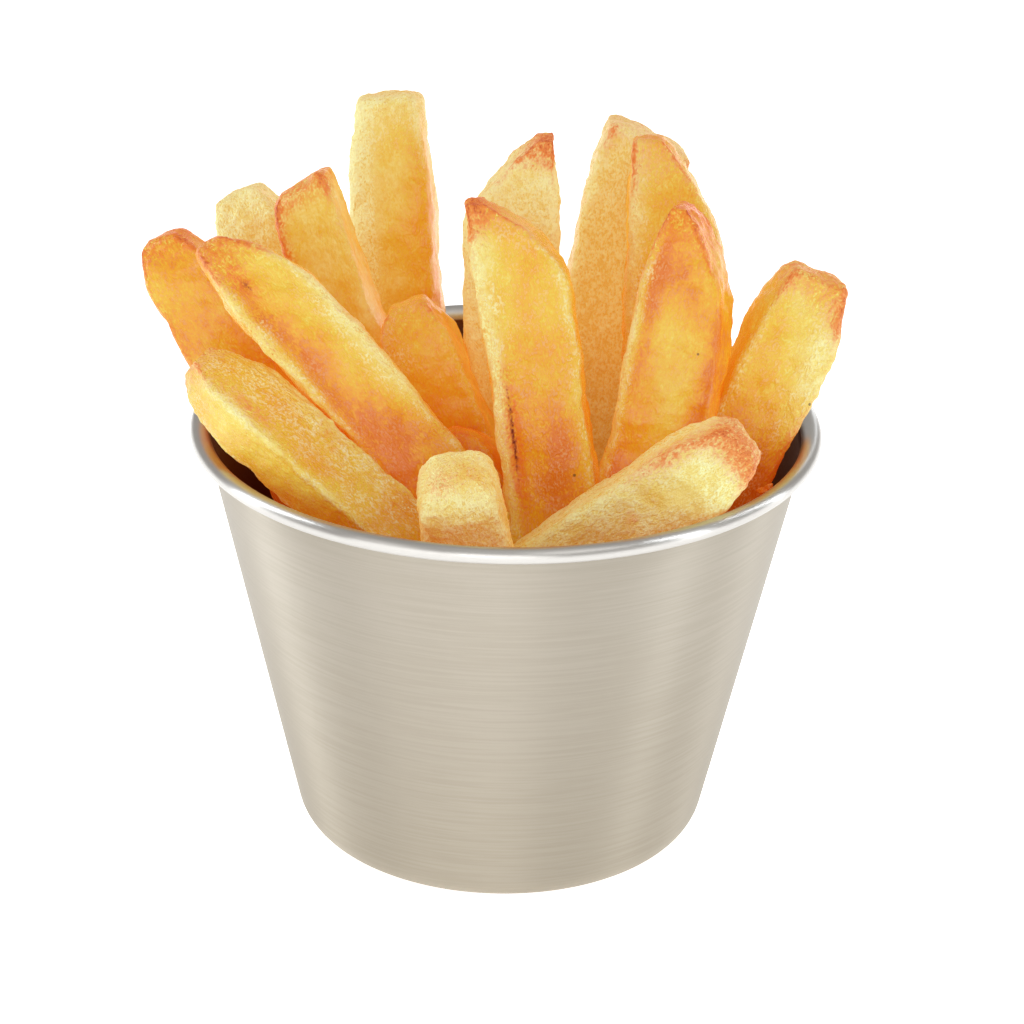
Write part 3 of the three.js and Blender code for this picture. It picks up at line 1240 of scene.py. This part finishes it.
@dataclass
class FryBundle:
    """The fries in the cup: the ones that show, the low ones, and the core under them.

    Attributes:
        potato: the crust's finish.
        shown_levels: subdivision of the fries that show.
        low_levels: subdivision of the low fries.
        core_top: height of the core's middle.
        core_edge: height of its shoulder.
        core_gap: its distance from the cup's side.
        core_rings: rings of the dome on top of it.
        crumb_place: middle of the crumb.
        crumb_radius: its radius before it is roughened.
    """

    potato: FriedPotato
    shown_levels: int = 3
    low_levels: int = 2
    core_top: float = 50.0
    core_edge: float = 44.0
    core_gap: float = 3.0
    core_rings: int = 4
    crumb_place: Point = (42.2, -20.9, 70.3)
    crumb_radius: float = 1.1

    def build_fries(self) -> list[Piece]:
        """Makes all fries, joined into front, middle, back and low rows.

        Returns:
            The four rows.
        """
        shown = FryCarver(self.shown_levels)
        low = FryCarver(self.low_levels)
        rows = {"front_fries": [], "middle_fries": [], "back_fries": []}
        for number, fry in enumerate(SHOWN_FRIES):
            name = "front_fries" if fry.tip[1] < -6 else "middle_fries" if fry.tip[1] < 10 else "back_fries"
            rows[name].append(shown.make(fry, number + 1))
        rows["low_fries"] = [low.make(fry, number + 31) for number, fry in enumerate(LOW_FRIES)]
        return [join_all(fries, name) for name, fries in rows.items()]

    def build_core(self, cup: SteelCup) -> Piece:
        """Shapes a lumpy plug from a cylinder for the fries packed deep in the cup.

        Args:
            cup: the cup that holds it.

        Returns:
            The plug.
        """
        radius = cup.inner_radius(self.core_edge) - self.core_gap
        floor = cup.sheet + 0.4
        depth = self.core_edge - floor
        place = (0, 0, (floor + depth / 2) * MM)
        size = {"radius": radius * MM, "depth": depth * MM}
        bpy.ops.mesh.primitive_cylinder_add(vertices=48, location=place, **size)
        core = bpy.context.object
        bpy.ops.object.transform_apply()
        foot_scale = (cup.inner_radius(cup.corner) - cup.corner) / radius
        top = self.core_edge * MM
        near = 0.01 * MM
        with editing(core):
            select_points(core, lambda p: p.z < floor * MM + near)
            bpy.ops.transform.resize(value=(foot_scale, foot_scale, 1), center_override=(0, 0, floor * MM))
            select_points(core, lambda p: p.z > top - near)
            rise = (self.core_top - self.core_edge) / self.core_rings
            for _ in range(self.core_rings):
                bpy.ops.mesh.inset(thickness=radius / (self.core_rings + 1) * MM, depth=rise * MM)
        apply_modifier(core, "SUBSURF", levels=2, render_levels=2)
        FryCarver.relief(core, FryCarver.cloud_texture("packed_fries", 7.0, 1), 3.0, 0.75)
        core.name = "packed_core"
        # The core deep in the cup gets only a little of the painted glow, as painted shade
        self.dress_evenly(core, {"tone": 0.95, "brown": 0.45, "burn": 0.15, "crust": 0.3, "painted_glow_share": 0.3})
        return core

    def build_crumb(self) -> Piece:
        """Makes the small reddish crumb that lies against the cup's side just under the rim.

        Returns:
            The crumb.
        """
        bpy.ops.mesh.primitive_ico_sphere_add(subdivisions=4, radius=self.crumb_radius * MM)
        crumb = bpy.context.object
        crumb.name = "crumb"
        FryCarver.relief(crumb, FryCarver.cloud_texture("crumb_relief", 0.9, 1), 1.6, 0.6)
        flattened = Matrix.Diagonal((1.3, 1, 0.8, 1))
        bake_place(crumb, Matrix.Translation(Vector(self.crumb_place) * MM) @ flattened)
        self.dress_evenly(crumb, {"tone": 1.0, "brown": 0.6, "burn": 0.1, "crust": 0.2, "painted_glow_share": 0.7})
        return crumb

    @staticmethod
    def dress_evenly(piece: Piece, looks: dict[str, float]) -> None:
        """Gives a whole piece the same look, and shades it smooth.

        Args:
            piece: the piece.
            looks: a value for each attribute.
        """
        places = vertex_places(piece)
        for name, value in looks.items():
            write_attribute(piece, name, np.full(len(places), value))
        write_attribute(piece, "grain", places)
        pick(piece)
        bpy.ops.object.shade_smooth()

    def build(self, cup: SteelCup) -> list[Piece]:
        """Builds every piece of the bundle and dresses it.

        Args:
            cup: the cup that holds it.

        Returns:
            The pieces, all in one finish.
        """
        pieces = [*self.build_fries(), self.build_core(cup), self.build_crumb()]
        finish = self.potato.material("fried_potato", mottle_group())
        for piece in pieces:
            piece.data.materials.clear()
            piece.data.materials.append(finish)
        return pieces


# The studio


@dataclass
class Studio:
    """A pale floor, soft lights and the camera.

    Attributes:
        eye: the camera's place.
        right: direction that is to the right in the picture.
        up: direction that is up in the picture.
        lens: focal length in millimetres, for a sensor 36 mm wide.
    """

    eye: Point = (1.23, -636.94, 346.43)
    right: Point = (0.99983, 0.00758, 0.01663)
    up: Point = (-0.01827, 0.41472, 0.90977)
    lens: float = 147.8

    def set_camera(self) -> None:
        """Places the camera at the photograph's angle and distance."""
        camera = bpy.data.cameras.new("camera")
        camera.lens = self.lens
        camera.sensor_width = 36.0
        holder = bpy.data.objects.new("camera", camera)
        right, up = Vector(self.right).normalized(), Vector(self.up).normalized()
        back = right.cross(up)
        place = Matrix((right, up, back)).transposed().to_4x4()
        place.translation = Vector(self.eye) * MM
        holder.matrix_world = place
        bpy.context.scene.collection.objects.link(holder)
        bpy.context.scene.camera = holder

    def set_floor(self) -> None:
        """Lays the pale floor that the cup stands on."""
        bpy.ops.mesh.primitive_plane_add(size=8, location=(0, 0, -0.0001))
        floor = bpy.context.object
        floor.name = "floor"
        material, shader, principled = new_material("pale_floor")
        finish = {
            "Base Color": (0.93, 0.93, 0.93, 1),
            "Roughness": 1.0,
            "Specular IOR Level": 0.0,
            "Emission Color": (1, 1, 1, 1),
            "Emission Strength": 0.8,
        }
        shader.dress(principled, finish)
        floor.data.materials.append(material)

    def add_light(self, name: str, azimuth: float, height: float, distance: float, size: Pair,
                  power: float, colour: Point = (1, 1, 1)) -> None:
        """Hangs a soft box that faces the cup.

        Args:
            name: the light's name.
            azimuth: degrees round the cup from the camera's side, to the right.
            height: above the floor in metres.
            distance: from the cup's axis in metres.
            size: width and height in metres.
            power: in watts.
            colour: the light's colour.
        """
        light = bpy.data.lights.new(name, "AREA")
        light.shape = "RECTANGLE"
        light.size, light.size_y = size
        light.energy = power
        light.color = colour
        holder = bpy.data.objects.new(name, light)
        holder.visible_camera = False
        angle = math.radians(azimuth)
        spot = Vector((math.sin(angle) * distance, -math.cos(angle) * distance, height))
        aim = Vector((0, 0, 0.07)) - spot
        holder.matrix_world = Matrix.Translation(spot) @ aim.to_track_quat("-Z", "Y").to_matrix().to_4x4()
        bpy.context.scene.collection.objects.link(holder)

    def set_lights(self) -> None:
        """Lights the portion softly from all sides, a little stronger from the left."""
        world = bpy.data.worlds.new("studio")
        world.use_nodes = True
        background = world.node_tree.nodes["Background"]
        background.inputs["Color"].default_value = (1, 0.97, 0.93, 1)
        background.inputs["Strength"].default_value = 0.48
        bpy.context.scene.world = world
        cool = (0.9, 0.95, 1.0)
        self.add_light("key", -50, 1.1, 1.0, (0.5, 0.5), 0.5)
        self.add_light("front", -25, 0.62, 1.15, (0.9, 0.5), 0.5)
        self.add_light("low_front", -18, 0.22, 1.0, (1.4, 0.3), 2.6)
        self.add_light("camera_side", -3, 0.52, 1.05, (0.5, 0.4), 0.9)
        self.add_light("fill", 35, 1.1, 0.8, (0.6, 0.6), 1.2)
        self.add_light("top", 20, 1.6, 0.2, (0.9, 0.9), 0.6)
        self.add_light("left_wall", -99, 0.35, 0.6, (0.12, 0.7), 1.7, cool)
        self.add_light("right_wall", 68, 0.35, 0.6, (0.08, 0.7), 1.0, cool)
        self.add_light("right_streak", 108, 0.35, 0.7, (0.05, 0.7), 0.8, cool)
        self.add_light("right_edge", 160, 0.35, 0.7, (0.1, 0.7), 0.3, cool)

    def build(self) -> None:
        """Sets up the whole studio."""
        self.set_camera()
        self.set_floor()
        self.set_lights()
        bpy.context.scene.view_settings.view_transform = "Standard"


def attach(piece: Piece, node: str) -> None:
    """Lets a piece stand for a node of the frame, with its body.

    Args:
        piece: the piece.
        node: the node's name.
    """
    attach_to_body(piece, BODY)
    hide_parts(node)
    LOG.info("%s: %d faces for %s", piece.name, len(piece.data.polygons), node)


def main() -> None:
    """Builds the cup, the fries and the studio."""
    logging.basicConfig(level=logging.INFO, format="%(name)s: %(message)s")
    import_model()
    bpy.ops.object.select_all(action="DESELECT")
    Studio().build()

    low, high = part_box("cup")
    cup = SteelCup(height=high.z / MM, rim_radius=(high.x - low.x) / 2 / MM)
    steel_cup = cup.build()
    steel_cup.data.materials.append(BrushedSteel().material("brushed_steel"))
    attach(steel_cup, "cup")
    for piece in FryBundle(FriedPotato()).build(cup):
        attach(piece, "fries")


if __name__ == "__main__":
    main()
